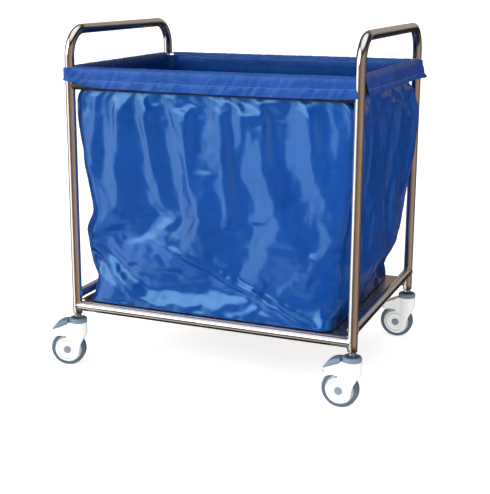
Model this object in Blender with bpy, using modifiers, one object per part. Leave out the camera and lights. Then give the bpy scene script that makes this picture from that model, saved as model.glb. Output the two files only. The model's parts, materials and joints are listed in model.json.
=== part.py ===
"""Linen trolley: two bent end frames joined by rails, a base tray, a bag folded over the
upper rails, and four swivel casters, the front two with brake pedals.

Units are metres. +Z is up, the front is -Y and +X is to the right. The origin is on the floor
under the middle of the whole object, with the casters trailing to the left.
"""
import math

import bmesh
import bpy
from mathutils import Matrix, Vector

# ---------------------------------------------------------------- driving dimensions
LENGTH = 0.800                 # over the posts, along X
WIDTH = 0.600                  # over the posts, along Y
HEIGHT = 0.920                 # floor to the top of the handles
TUBE_R = 0.0125                # frame tube, 25 mm outside
TUBE_WALL = 0.0012
BEND_R = 0.070                 # centreline radius of the handle bends
POST_BOTTOM = 0.148
GAP = 0.0003                   # left between pieces that touch

LOW_RAIL_Z = 0.168             # front and back rails at the base
SIDE_RAIL_Z = 0.200            # left and right rails at the base, above the tray
TRAY_SHEET = 0.0012

BLACK_R = 0.0105               # black coated rails under the hem
BLACK_FRONT_Z = 0.765
BLACK_SIDE_Z = 0.779
HEM_RAIL_R = 0.009             # upper rails that carry the hem
HEM_RAIL_Z = 0.8055
RAIL_WALL = 0.0012

CLOTH = 0.0014
HEM_DROP_Z = 0.762             # lower edge of the folded hem
WALL_HALF_X = 0.3755           # bag wall just inside the upper rails
WALL_HALF_Y = 0.2755

WHEEL_R = 0.047
TRAIL = 0.0275                 # swivel axis to wheel axle
AXLE_Z = WHEEL_R
NECK_R = 0.0245                # round top of the caster housing and its dust ring
HOUSING_TOP = 0.1225
FORK_INNER = 0.0148            # half the space between the fork legs
FORK_OUTER = 0.0205
FENDER_INNER = 0.0168          # half the hollow inside the fender
DISC_R = 0.033                 # round end of each fork leg
REACH = 0.0745                 # swivel axis to the tip of the fender
TYRE_SIDES = 32
BEARING_Z = 0.1130             # floor of the bearing pocket in the housing
PIN_R = 0.0020
PIN_PLACE = (-0.0345, 0, 0.1125)
FENDER_TOP = [(-0.0285, 0.1175), (-0.0450, 0.1105), (-0.0605, 0.1036), (-0.0715, 0.0966)]
FRONT_LEFT_TURN = math.radians(16.0)

POST_X = LENGTH / 2 - TUBE_R
POST_Y = WIDTH / 2 - TUBE_R
HANDLE_Z = HEIGHT - TUBE_R
FRAME_X = (REACH - NECK_R) / 2  # puts the origin under the middle of the whole object
TRAY_Z = LOW_RAIL_Z + TUBE_R + GAP

CASTERS = {
    "front_left": (-1, -1, FRONT_LEFT_TURN, True),
    "front_right": (1, -1, 0.0, True),
    "back_left": (-1, 1, 0.0, False),
    "back_right": (1, 1, 0.0, False),
}
AXLE_TURN = (math.radians(90), 0, 0)  # turns a lathe axis from Z to Y


# colour, roughness and metallic value of each look
STEEL = ((0.72, 0.70, 0.68), 0.18, 1.0)
CHROME = ((0.80, 0.80, 0.80), 0.12, 1.0)
BLACK = ((0.015, 0.014, 0.016), 0.45, 0.0)
CLOTH_BLUE = ((0.010, 0.060, 0.280), 0.40, 0.0)
WHITE = ((0.85, 0.87, 0.85), 0.35, 0.0)
RING_BLUE = ((0.12, 0.19, 0.27), 0.45, 0.0)
TREAD_GREY = ((0.08, 0.12, 0.17), 0.60, 0.0)
CAP_GREY = ((0.28, 0.33, 0.37), 0.45, 0.0)


# ---------------------------------------------------------------- helpers
def clear_scene():
    for item in list(bpy.data.objects):
        bpy.data.objects.remove(item, do_unlink=True)


def new_collection(name):
    group = bpy.data.collections.new(name)
    bpy.context.scene.collection.children.link(group)
    return group


def new_material(name, colour, roughness, metallic):
    material = bpy.data.materials.new(name)
    material.use_nodes = True
    shader = material.node_tree.nodes["Principled BSDF"]
    shader.inputs["Base Color"].default_value = (*colour, 1.0)
    shader.inputs["Roughness"].default_value = roughness
    shader.inputs["Metallic"].default_value = metallic
    return material


def add_empty(name, parent=None, location=(0, 0, 0), turn=0.0):
    empty = bpy.data.objects.new(name, None)
    PARTS.objects.link(empty)
    empty.parent = parent
    empty.location = location
    empty.rotation_euler = (0, 0, turn)
    return empty


def add_object(name, data, look, parent=None, location=(0, 0, 0), rotation=(0, 0, 0)):
    """Add one named sub-part with a material of its own."""
    part = bpy.data.objects.new(name, data)
    PARTS.objects.link(part)
    part.parent = parent
    part.location = location
    part.rotation_euler = rotation
    if not data.materials:
        data.materials.append(None)
    part.material_slots[0].link = "OBJECT"
    part.material_slots[0].material = new_material(name, *look)
    return part


def lathe(name, profile, sides, closed):
    """Turned solid about Z. The profile holds (radius, height) points, outer side downwards."""
    mesh = bpy.data.meshes.new(name)
    shape = bmesh.new()
    points = [shape.verts.new((radius, 0, height)) for radius, height in profile]
    pairs = list(zip(points, points[1:]))
    if closed:
        pairs.append((points[-1], points[0]))
    for start, end in pairs:
        shape.edges.new((start, end))
    shape.to_mesh(mesh)
    shape.free()
    draft = bpy.data.objects.new(name, mesh)
    CUTTERS.objects.link(draft)
    screw = draft.modifiers.new("turn", "SCREW")
    screw.steps = sides
    screw.render_steps = sides
    screw.use_merge_vertices = True
    screw.merge_threshold = 0.00001
    return settle(draft)


def settle(draft):
    """Return the finished mesh of a draft object, and remove the draft."""
    bpy.context.view_layer.update()
    depsgraph = bpy.context.evaluated_depsgraph_get()
    mesh = bpy.data.meshes.new_from_object(draft.evaluated_get(depsgraph))
    mesh.name = draft.name
    shape = bmesh.new()
    shape.from_mesh(mesh)
    bmesh.ops.remove_doubles(shape, verts=shape.verts, dist=0.000001)
    bmesh.ops.transform(shape, matrix=draft.matrix_world, verts=shape.verts)
    shape.to_mesh(mesh)
    shape.free()
    mesh.shade_smooth()
    mesh.set_sharp_from_angle(angle=math.radians(35))
    bpy.data.objects.remove(draft, do_unlink=True)
    return mesh


def outline_draft(name, outline, half_depth, upright=False):
    """Flat outline of (x, y) points, or (x, z) points when upright, given a thickness."""
    curve = bpy.data.curves.new(name, "CURVE")
    curve.dimensions = "2D"
    curve.fill_mode = "BOTH"
    curve.extrude = half_depth
    spline = curve.splines.new("POLY")
    spline.points.add(len(outline) - 1)
    for point, (first, second) in zip(spline.points, outline):
        point.co = (first, second, 0, 1)
    spline.use_cyclic_u = True
    draft = bpy.data.objects.new(name, curve)
    CUTTERS.objects.link(draft)
    if upright:
        draft.rotation_euler = (math.radians(90), 0, 0)
    return draft


def add_cutter(name, mesh, location=(0, 0, 0), rotation=(0, 0, 0)):
    cutter = bpy.data.objects.new(name, mesh)
    CUTTERS.objects.link(cutter)
    cutter.location = location
    cutter.rotation_euler = rotation
    cutter.hide_render = True
    cutter.display_type = "WIRE"
    return cutter


def combine(name, mesh, steps):
    """Apply Boolean steps, each (operation, cutter), to a mesh and return the result."""
    draft = bpy.data.objects.new(name, mesh)
    CUTTERS.objects.link(draft)
    for operation, cutter in steps:
        modifier = draft.modifiers.new(cutter.name, "BOOLEAN")
        modifier.operation = operation
        modifier.solver = "EXACT"
        modifier.object = cutter
    result = settle(draft)
    for _, cutter in steps:
        bpy.data.objects.remove(cutter, do_unlink=True)
    return result


def rod_mesh(name, radius, length, sides):
    """Solid round bar along Z, centred on the origin."""
    mesh = bpy.data.meshes.new(name)
    shape = bmesh.new()
    bmesh.ops.create_cone(
        shape, cap_ends=True, segments=sides, radius1=radius, radius2=radius, depth=length
    )
    shape.to_mesh(mesh)
    shape.free()
    return mesh


def arc(centre, radius, start, end, count):
    """Points along an arc, with angles in degrees from the first axis."""
    points = []
    for step in range(count + 1):
        angle = math.radians(start + (end - start) * step / count)
        points.append((centre[0] + radius * math.cos(angle), centre[1] + radius * math.sin(angle)))
    return points


# ---------------------------------------------------------------- frame
def end_frame_curve():
    """Post, bend, handle, bend and post as one tube in the YZ plane."""
    route = [(-POST_Y, POST_BOTTOM)]
    top = HANDLE_Z - BEND_R
    route += arc((-POST_Y + BEND_R, top), BEND_R, 180, 90, 7)
    route += arc((POST_Y - BEND_R, top), BEND_R, 90, 0, 7)
    route.append((POST_Y, POST_BOTTOM))
    curve = bpy.data.curves.new("end_frame", "CURVE")
    curve.dimensions = "3D"
    curve.bevel_depth = TUBE_R
    curve.bevel_resolution = 4
    spline = curve.splines.new("POLY")
    spline.points.add(len(route) - 1)
    for point, (across, height) in zip(spline.points, route):
        point.co = (0, across, height, 1)
    spline.use_smooth = True
    return curve


def tube_mesh(name, radius, wall, length, sides):
    """Open hollow tube along X, centred on the origin."""
    mesh = bpy.data.meshes.new(name)
    shape = bmesh.new()
    bmesh.ops.create_cone(
        shape, cap_ends=False, segments=sides, radius1=radius, radius2=radius, depth=length
    )
    turn = Matrix.Rotation(math.radians(90), 3, "Y")
    bmesh.ops.rotate(shape, cent=(0, 0, 0), matrix=turn, verts=shape.verts)
    shape.to_mesh(mesh)
    shape.free()
    draft = bpy.data.objects.new(name, mesh)
    CUTTERS.objects.link(draft)
    solidify = draft.modifiers.new("wall", "SOLIDIFY")
    solidify.thickness = wall
    solidify.offset = -1
    return settle(draft)


def rail_mesh(name, radius, wall, half_span, sides):
    """Tube along X whose ends are saddle cut to fit round the posts."""
    inset = 0.006
    tube = tube_mesh(name, radius, wall, 2 * (half_span - inset), sides)
    saddle = rod_mesh("saddle", TUBE_R + 2 * GAP, 0.2, 20)
    steps = []
    for side in (-1, 1):
        cutter = add_cutter("saddle", saddle, location=(side * half_span, 0, 0))
        steps.append(("DIFFERENCE", cutter))
    return combine(name, tube, steps)


def add_rails(root, kind, look, radius, wall, front_z, side_z, sides):
    """Four rails of one kind: front and back along X, left and right along Y."""
    along_x = rail_mesh(kind + "_long", radius, wall, POST_X, sides)
    along_y = rail_mesh(kind + "_short", radius, wall, POST_Y, sides)
    quarter = (0, 0, math.radians(90))
    add_object(kind + "_front", along_x, look, root, (0, -POST_Y, front_z))
    add_object(kind + "_back", along_x, look, root, (0, POST_Y, front_z))
    add_object(kind + "_left", along_y, look, root, (-POST_X, 0, side_z), quarter)
    add_object(kind + "_right", along_y, look, root, (POST_X, 0, side_z), quarter)


def add_frame(root):
    for side, place in (("left", -POST_X), ("right", POST_X)):
        frame = add_object("end_frame_" + side, end_frame_curve(), STEEL, root, (place, 0, 0))
        solidify = frame.modifiers.new("wall", "SOLIDIFY")
        solidify.thickness = TUBE_WALL
        solidify.offset = -1
    add_rails(root, "base_rail", STEEL, TUBE_R, TUBE_WALL, LOW_RAIL_Z, SIDE_RAIL_Z, 12)
    add_rails(root, "black_rail", BLACK, BLACK_R, RAIL_WALL, BLACK_FRONT_Z, BLACK_SIDE_Z, 10)
    add_rails(root, "hem_rail", STEEL, HEM_RAIL_R, RAIL_WALL, HEM_RAIL_Z, HEM_RAIL_Z, 10)


def add_tray(root):
    """Flat sheet lying on the front and back rails, notched round the posts."""
    half_x = POST_X - 0.0025
    half_y = POST_Y
    notch_x = POST_X - TUBE_R - 0.004
    notch_y = POST_Y - TUBE_R - 0.004
    outline = []
    for right, back in ((1, 1), (-1, 1), (-1, -1), (1, -1)):
        corner = [
            (right * half_x, back * notch_y),
            (right * notch_x, back * notch_y),
            (right * notch_x, back * half_y),
        ]
        if right * back < 0:
            corner.reverse()
        outline += corner
    draft = outline_draft("base_tray", outline, TRAY_SHEET / 2)
    draft.location = (0, 0, TRAY_Z + TRAY_SHEET / 2)
    add_object("base_tray", settle(draft), STEEL, root)


# ---------------------------------------------------------------- bag
def rounded_loop(half_x, half_y, radius, height):
    """Rounded rectangle of points at one height, anticlockwise from the right."""
    points = []
    corners = ((1, 1, 0), (-1, 1, 90), (-1, -1, 180), (1, -1, 270))
    for right, back, start in corners:
        centre = (right * (half_x - radius), back * (half_y - radius))
        for across, along in arc(centre, radius, start, start + 90, 4):
            points.append(Vector((across, along, height)))
    return points


def bag_rows():
    """Loops of the bag's cloth from the bottom, up the wall, over the rail and down the hem."""
    floor = TRAY_Z + TRAY_SHEET + GAP + CLOTH
    inset = WALL_HALF_X - WALL_HALF_Y
    rows = []
    for half_x, radius, height in (
        (0.330, 0.060, floor),
        (0.346, 0.060, floor + 0.006),
        (0.352, 0.058, floor + 0.030),
        (0.360, 0.055, 0.380),
        (0.366, 0.050, 0.560),
        (0.373, 0.044, 0.700),
        (WALL_HALF_X, 0.040, 0.748),
        (WALL_HALF_X + 0.0012, 0.040, 0.795),
    ):
        rows.append(rounded_loop(half_x, half_x - inset, radius, height))
    fold = HEM_RAIL_R + 0.0009
    for across, height in arc((POST_X, HEM_RAIL_Z), fold, 165, 0, 5):
        rows.append(rounded_loop(across, across - inset, 0.020, height))
    flap = POST_X + BLACK_R + GAP
    rows.append(rounded_loop(flap, flap - inset, 0.020, 0.790))
    rows.append(rounded_loop(flap, flap - inset, 0.020, HEM_DROP_Z))
    return rows


def bag_cloth():
    mesh = bpy.data.meshes.new("linen_bag")
    shape = bmesh.new()
    loops = [[shape.verts.new(point) for point in row] for row in bag_rows()]
    shape.faces.new(list(reversed(loops[0])))
    for lower, upper in zip(loops, loops[1:]):
        count = len(lower)
        for index in range(count):
            following = (index + 1) % count
            shape.faces.new((lower[index], lower[following], upper[following], upper[index]))
    shape.to_mesh(mesh)
    shape.free()
    draft = bpy.data.objects.new("linen_bag", mesh)
    CUTTERS.objects.link(draft)
    solidify = draft.modifiers.new("cloth", "SOLIDIFY")
    solidify.thickness = CLOTH
    solidify.offset = -1
    solidify.use_even_offset = True
    return settle(draft)


def add_bag(root):
    """Open bag whose hem is folded over the upper rails as four flaps, cut clear at the posts."""
    size = 0.060
    inner_x = POST_X - TUBE_R - 0.0085
    inner_y = POST_Y - TUBE_R - 0.0085
    steps = []
    for right in (-1, 1):
        for back in (-1, 1):
            mesh = bpy.data.meshes.new("corner_cut")
            shape = bmesh.new()
            bmesh.ops.create_cube(shape, size=1)
            bmesh.ops.scale(shape, vec=(size, size, 0.14), verts=shape.verts)
            shape.to_mesh(mesh)
            shape.free()
            place = (right * (inner_x + size / 2), back * (inner_y + size / 2), 0.800)
            steps.append(("DIFFERENCE", add_cutter("corner_cut", mesh, place)))
    bag = combine("linen_bag", bag_cloth(), steps)
    add_object("linen_bag", bag, CLOTH_BLUE, root)


# ---------------------------------------------------------------- casters
def housing_outline():
    """Side outline of the caster housing: neck, fender, slot, and fork leg with its disc."""
    outline = [(NECK_R, HOUSING_TOP), (-NECK_R, HOUSING_TOP)]
    outline += FENDER_TOP
    outline += [(-REACH, 0.0915), (-0.0725, 0.0860), (-0.0640, 0.0800)]
    outline += [(-0.0555, 0.0835), (-0.0457, 0.0855), (-0.0320, 0.0850), (-0.0290, 0.0825)]
    outline += arc((-TRAIL, AXLE_Z), DISC_R, 97, 360, 12)
    outline += [(0.0075, 0.0590), (0.0130, 0.0710), (0.0205, 0.0850), (NECK_R, 0.0980)]
    return outline


def plan_outline(half_width, neck_radius):
    """Outline from above: round neck, parallel sides and a rounded tip."""
    meet = math.degrees(math.asin(half_width / neck_radius))
    outline = arc((0, 0), neck_radius, meet - 180, 180 - meet, 10)
    tip_x = -0.055
    for step in range(7):
        angle = math.radians(90 + 180 * step / 6)
        outline.append((tip_x + (REACH + tip_x) * math.cos(angle), half_width * math.sin(angle)))
    return outline


def housing_mesh(braked):
    """White moulded housing. The braked kind has an opening on top for the pedal."""
    name = "caster_housing"
    body = settle(outline_draft(name, housing_outline(), 0.040, upright=True))
    plan = settle(outline_draft("plan", plan_outline(FORK_OUTER, NECK_R), 0.200))
    hollow = [(-0.0620, 0.0800), (-0.0620, 0.0960), (-0.0580, 0.0998), (-0.0450, 0.1068)]
    hollow += [(-0.0300, 0.1130), (-0.0215, 0.1130), (-0.0215, 0.0800)]
    inside = settle(outline_draft("inside", hollow, FENDER_INNER, upright=True))
    wheel_room = rod_mesh("wheel_room", WHEEL_R + 0.0025, 2 * FORK_INNER, 28)
    bearing_room = rod_mesh("bearing_room", 0.0166, 0.020, 16)
    stud_hole = rod_mesh("stud_hole", 0.0062, 0.080, 10)
    head_room = rod_mesh("head_room", 0.0095, 0.030, 12)
    axle_hole = rod_mesh("axle_hole", 0.0044, 0.080, 10)
    axle = (-TRAIL, 0, AXLE_Z)
    steps = [
        ("INTERSECT", add_cutter("plan", plan)),
        ("DIFFERENCE", add_cutter("inside", inside)),
        ("DIFFERENCE", add_cutter("wheel_room", wheel_room, axle, AXLE_TURN)),
        ("DIFFERENCE", add_cutter("bearing_room", bearing_room, (0, 0, BEARING_Z + 0.010))),
        ("DIFFERENCE", add_cutter("stud_hole", stud_hole, (0, 0, 0.110))),
        ("DIFFERENCE", add_cutter("head_room", head_room, (0, 0, 0.105 - 0.015))),
        ("DIFFERENCE", add_cutter("axle_hole", axle_hole, axle, AXLE_TURN)),
    ]
    if braked:
        opening = [(-0.0255, 0.140), (-0.0255, 0.100), (-0.060, 0.0905), (-0.080, 0.0865)]
        opening.append((-0.080, 0.140))
        room = settle(outline_draft("pedal_room", opening, FENDER_INNER, upright=True))
        pin_hole = rod_mesh("pin_hole", PIN_R + 0.0002, 2 * 0.0198, 12)
        steps.append(("DIFFERENCE", add_cutter("pedal_room", room)))
        steps.append(("DIFFERENCE", add_cutter("pin_hole", pin_hole, PIN_PLACE, AXLE_TURN)))
    return combine(name, body, steps)


def pedal_mesh():
    """Curved foot pedal with a lug for its pin and a nose that presses on the tyre."""
    outline = [(-0.0262, 0.1290), (-0.0350, 0.1287), (-0.0450, 0.1260), (-0.0540, 0.1207)]
    outline += [(-0.0645, 0.1107), (-0.0715, 0.1010), (-0.0742, 0.0953), (-0.0715, 0.0971)]
    outline += [(-0.0605, 0.1041), (-0.0490, 0.1092), (-0.0475, 0.0940), (-0.0425, 0.0940)]
    outline += [(-0.0400, 0.1090), (-0.0380, 0.1085), (-0.0310, 0.1085), (-0.0296, 0.1176)]
    outline.append((-0.0262, 0.1194))
    body = settle(outline_draft("brake_pedal", outline, 0.040, upright=True))
    half_width = FENDER_INNER - 0.0006
    plan = settle(outline_draft("plan", plan_outline(half_width, NECK_R), 0.200))
    bore = rod_mesh("bore", PIN_R + 0.0002, 0.080, 12)
    steps = [
        ("INTERSECT", add_cutter("plan", plan)),
        ("DIFFERENCE", add_cutter("bore", bore, PIN_PLACE, AXLE_TURN)),
    ]
    return combine("brake_pedal", body, steps)


def stem_profile():
    """Plug inside the post, shoulder, bright neck, stud and riveted head."""
    return [
        (0, 0.186), (0.0095, 0.186), (0.0105, 0.1845), (0.0105, POST_BOTTOM - GAP),
        (0.0122, POST_BOTTOM - GAP), (0.0122, 0.1465), (0.0088, 0.1435),
        (0.0088, HOUSING_TOP), (0.0050, HOUSING_TOP), (0.0050, 0.1043),
        (0.0080, 0.1043), (0.0080, 0.1010), (0, 0.1010),
    ]


def ring_profile():
    """Dust ring with a sunken middle round the stem."""
    base = HOUSING_TOP + GAP
    return [
        (0.0175, 0.1345), (0.0220, 0.1345), (0.0245, 0.1320), (0.0245, base),
        (0.0105, base), (0.0105, 0.1265), (0.0150, 0.1280),
    ]


def bearing_profile():
    return [
        (0.0162, HOUSING_TOP - GAP), (0.0162, BEARING_Z + GAP),
        (0.0055, BEARING_Z + GAP), (0.0055, HOUSING_TOP - GAP),
    ]


def tyre_profile():
    """The flats between corners of the turned tyre touch the floor."""
    reach = WHEEL_R / math.cos(math.pi / TYRE_SIDES)
    return [
        (reach, 0.0090), (reach, -0.0090), (0.0450, -0.0120),
        (0.0375, -0.0120), (0.0375, 0.0120), (0.0450, 0.0120),
    ]


def core_profile():
    return [
        (0.0372, 0.0115), (0.0372, -0.0115), (0.0330, -0.0080), (0.0130, -0.0080),
        (0.0110, -0.0130), (0.0078, -0.0130), (0.0078, 0.0130), (0.0110, 0.0130),
        (0.0130, 0.0080), (0.0330, 0.0080),
    ]


def sleeve_profile():
    half = FORK_INNER - 0.0005
    return [(0.0075, half), (0.0075, -half), (0.0043, -half), (0.0043, half)]


def cap_profile():
    """Domed hub cap standing on the outside of a fork leg."""
    base = FORK_OUTER + GAP
    return [
        (0, base + 0.0028), (0.0080, base + 0.0026), (0.0105, base + 0.0012),
        (0.0105, base), (0, base),
    ]


def add_casters(root):
    stem = lathe("stem", stem_profile(), 12, False)
    ring = lathe("dust_ring", ring_profile(), 20, True)
    bearing = lathe("swivel_bearing", bearing_profile(), 16, True)
    tyre = lathe("tyre", tyre_profile(), TYRE_SIDES, True)
    core = lathe("wheel_core", core_profile(), 16, True)
    sleeve = lathe("axle_sleeve", sleeve_profile(), 10, True)
    cap = lathe("hub_cap", cap_profile(), 12, False)
    axle = rod_mesh("axle", 0.0040, 2 * 0.0200, 10)
    pin = rod_mesh("pedal_pin", PIN_R, 2 * 0.0195, 10)
    pedal = pedal_mesh()
    housings = {True: housing_mesh(True), False: housing_mesh(False)}
    flat_down = (math.radians(90), 0, math.pi / TYRE_SIDES)
    for place, (right, back, turn, braked) in CASTERS.items():
        tag = "_" + place
        post = (right * POST_X, back * POST_Y, 0)
        swivel = add_empty("swivel" + tag, root, post, turn)
        wheel = add_empty("wheel_axis" + tag, swivel, (-TRAIL, 0, AXLE_Z))
        add_object("caster_stem" + tag, stem, CHROME, root, post)
        add_object("dust_ring" + tag, ring, RING_BLUE, swivel)
        add_object("swivel_bearing" + tag, bearing, CHROME, swivel)
        add_object("caster_housing" + tag, housings[braked], WHITE, swivel)
        add_object("wheel_axle" + tag, axle, CHROME, wheel, rotation=AXLE_TURN)
        add_object("hub_cap_near" + tag, cap, CAP_GREY, wheel, rotation=AXLE_TURN)
        back_turn = (math.radians(-90), 0, 0)
        add_object("hub_cap_far" + tag, cap, CAP_GREY, wheel, rotation=back_turn)
        tyre_part = add_object("tyre" + tag, tyre, TREAD_GREY, wheel, rotation=flat_down)
        tyre_part.rotation_mode = "ZXY"
        add_object("wheel_core" + tag, core, WHITE, wheel, rotation=AXLE_TURN)
        add_object("axle_sleeve" + tag, sleeve, CHROME, wheel, rotation=AXLE_TURN)
        if braked:
            pivot = add_empty("pedal_axis" + tag, swivel, PIN_PLACE)
            lift = Vector(PIN_PLACE)
            add_object("pedal_pin" + tag, pin, CHROME, pivot, rotation=AXLE_TURN)
            add_object("brake_pedal" + tag, pedal, RING_BLUE, pivot, -lift)


# ---------------------------------------------------------------- assembly
clear_scene()
PARTS = new_collection("linen_trolley")
CUTTERS = new_collection("cutters")
ROOT = add_empty("trolley", location=(FRAME_X, 0, 0))
add_frame(ROOT)
add_tray(ROOT)
add_bag(ROOT)
add_casters(ROOT)
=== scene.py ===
"""A linen trolley for a product view: polished tube frame, open blue bag and four white casters."""
import json
import math
import bmesh
import bpy
import numpy as np
from mathutils import Matrix, Vector, noise


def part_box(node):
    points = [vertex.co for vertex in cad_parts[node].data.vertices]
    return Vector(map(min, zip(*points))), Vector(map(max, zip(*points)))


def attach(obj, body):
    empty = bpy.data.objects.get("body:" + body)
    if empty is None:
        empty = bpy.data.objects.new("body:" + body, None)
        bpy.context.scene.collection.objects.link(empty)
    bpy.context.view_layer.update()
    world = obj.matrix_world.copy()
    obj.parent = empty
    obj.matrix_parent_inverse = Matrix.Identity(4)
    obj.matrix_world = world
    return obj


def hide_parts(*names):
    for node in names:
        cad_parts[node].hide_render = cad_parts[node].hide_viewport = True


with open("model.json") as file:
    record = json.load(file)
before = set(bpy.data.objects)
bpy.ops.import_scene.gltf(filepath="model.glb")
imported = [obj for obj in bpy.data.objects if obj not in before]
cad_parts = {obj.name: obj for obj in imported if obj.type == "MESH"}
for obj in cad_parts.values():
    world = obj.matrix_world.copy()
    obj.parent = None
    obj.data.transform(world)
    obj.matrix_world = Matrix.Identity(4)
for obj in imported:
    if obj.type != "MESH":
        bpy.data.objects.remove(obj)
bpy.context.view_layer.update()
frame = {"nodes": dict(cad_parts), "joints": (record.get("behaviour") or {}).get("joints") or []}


# ------------ places read from the frame
def middle(node):
    low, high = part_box(node)
    return (low + high) / 2


left_low, left_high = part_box("end_frame_left")
TUBE_R = (left_high.x - left_low.x) / 2
LEFT_X = middle("end_frame_left").x
RIGHT_X = middle("end_frame_right").x
MID_X = (LEFT_X + RIGHT_X) / 2
SPAN_X = (RIGHT_X - LEFT_X) / 2
POST_Y = left_high.y - TUBE_R
HANDLE_Z = left_high.z - TUBE_R
POST_BOTTOM = left_low.z
BEND_R = 0.07
TRAY_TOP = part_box("base_tray")[1].z
WHEEL_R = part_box("tyre_back_right")[1].z / 2
FORK_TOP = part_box("caster_housing_back_right")[1].z
PLACES = ("front_left", "front_right", "back_left", "back_right")

TUBE_WALL = 0.0012
HEM_SEAM_UP = 0.023   # height of the seam over the lower edge of the flap
DISH_RING_R = 0.0264   # pressed ring round the hub on a fork leg


# ------------ mesh helpers
def finish_mesh(mesh, angle=35):
    mesh.shade_smooth()
    mesh.set_sharp_from_angle(angle=math.radians(angle))
    return mesh


def mesh_from(name, points, faces, angle=35):
    mesh = bpy.data.meshes.new(name)
    mesh.from_pydata([tuple(p) for p in points], [], faces)
    mesh.validate()
    return finish_mesh(mesh, angle)


def grid_faces(rows, columns, wrap, closed=False):
    """Quads over a grid of rows. wrap joins the last column to the first, closed does so with rows."""
    faces = []
    for row in range(rows - 1):
        for column in range(columns if wrap else columns - 1):
            after = (column + 1) % columns
            faces.append(
                (row * columns + column, row * columns + after,
                 (row + 1) * columns + after, (row + 1) * columns + column)
            )
    last = (rows - 1) * columns
    for column in range(columns if closed else 0):
        after = (column + 1) % columns
        faces.append((last + column, last + after, after, column))
    return faces


def add_piece(name, mesh, body, look, place=None):
    piece = bpy.data.objects.new(name, mesh)
    bpy.context.scene.collection.objects.link(piece)
    if place is not None:
        piece.matrix_world = place
    mesh.materials.clear()
    mesh.materials.append(look)
    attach(piece, body)
    return piece


def vector_attribute(mesh, name, values):
    layer = mesh.attributes.new(name, "FLOAT_VECTOR", "POINT")
    layer.data.foreach_set("vector", np.asarray(values, np.float32).ravel())


def settle(draft):
    """The finished mesh of a draft object, which is then removed."""
    bpy.context.view_layer.update()
    depsgraph = bpy.context.evaluated_depsgraph_get()
    mesh = bpy.data.meshes.new_from_object(draft.evaluated_get(depsgraph))
    mesh.transform(draft.matrix_world)
    bpy.data.objects.remove(draft, do_unlink=True)
    return mesh


def draft_object(name, data):
    draft = bpy.data.objects.new(name, data)
    bpy.context.scene.collection.objects.link(draft)
    return draft


def subdivide(draft):
    smooth = draft.modifiers.new("smooth", "SUBSURF")
    smooth.levels = 1
    smooth.render_levels = 1


def bevel(draft, width, angle):
    modifier = draft.modifiers.new("bevel", "BEVEL")
    modifier.width = width
    modifier.segments = 3
    modifier.limit_method = "ANGLE"
    modifier.angle_limit = math.radians(angle)


def arc(centre, radius, start, end, count):
    """Points of an arc from one angle to another, in degrees."""
    points = []
    for step in range(count + 1):
        angle = math.radians(start + (end - start) * step / count)
        points.append((centre[0] + radius * math.cos(angle), centre[1] + radius * math.sin(angle)))
    return points


def rounded(points, radius, closed=False, steps=4):
    """The line through the points with its corners rounded to about the given radius."""
    count = len(points)
    out = []
    for index, corner in enumerate(points):
        if not closed and index in (0, count - 1):
            out.append(tuple(corner))
            continue
        here = Vector(corner)
        before = Vector(points[index - 1]) - here
        after = Vector(points[(index + 1) % count]) - here
        reach = min(radius, before.length * 0.45, after.length * 0.45)
        start = here + before.normalized() * reach
        end = here + after.normalized() * reach
        for step in range(steps + 1):
            t = step / steps
            out.append(tuple(start * (1 - t) ** 2 + here * 2 * t * (1 - t) + end * t ** 2))
    return out


def lathe(name, profile, sides=48, axis="Z", closed=False, angle=40):
    """Turned shape from (radius, height) points."""
    points = []
    for radius, height in profile:
        for side in range(sides):
            turn = 2 * math.pi * side / sides
            across, up = radius * math.cos(turn), radius * math.sin(turn)
            points.append((across, up, height) if axis == "Z" else (across, -height, up))
    mesh = mesh_from(name, points, grid_faces(len(profile), sides, True, closed), angle)
    shape = bmesh.new()
    shape.from_mesh(mesh)
    bmesh.ops.remove_doubles(shape, verts=shape.verts, dist=0.000002)
    bmesh.ops.recalc_face_normals(shape, faces=shape.faces)
    shape.to_mesh(mesh)
    shape.free()
    return finish_mesh(mesh, angle)


# ------------ node helpers
class Tree:
    """A small builder for the nodes of a material or of the world."""

    def __init__(self, tree):
        self.tree = tree

    def feed(self, value, socket):
        if isinstance(value, bpy.types.NodeSocket):
            self.tree.links.new(value, socket)
        else:
            socket.default_value = value

    def add(self, kind, values=None, **settings):
        node = self.tree.nodes.new(kind)
        for key, value in settings.items():
            setattr(node, key, value)
        for key, value in (values or {}).items():
            self.feed(value, node.inputs[key])
        return node

    def math(self, operation, first, second=0.0, third=0.0):
        values = {0: first, 1: second, 2: third}
        return self.add("ShaderNodeMath", values, operation=operation).outputs[0]

    def ramp(self, value, low, high, start=0.3, end=0.7, shape="LINEAR"):
        values = {"Value": value, "From Min": start, "From Max": end, "To Min": low, "To Max": high}
        return self.add("ShaderNodeMapRange", values, interpolation_type=shape).outputs["Result"]


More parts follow.
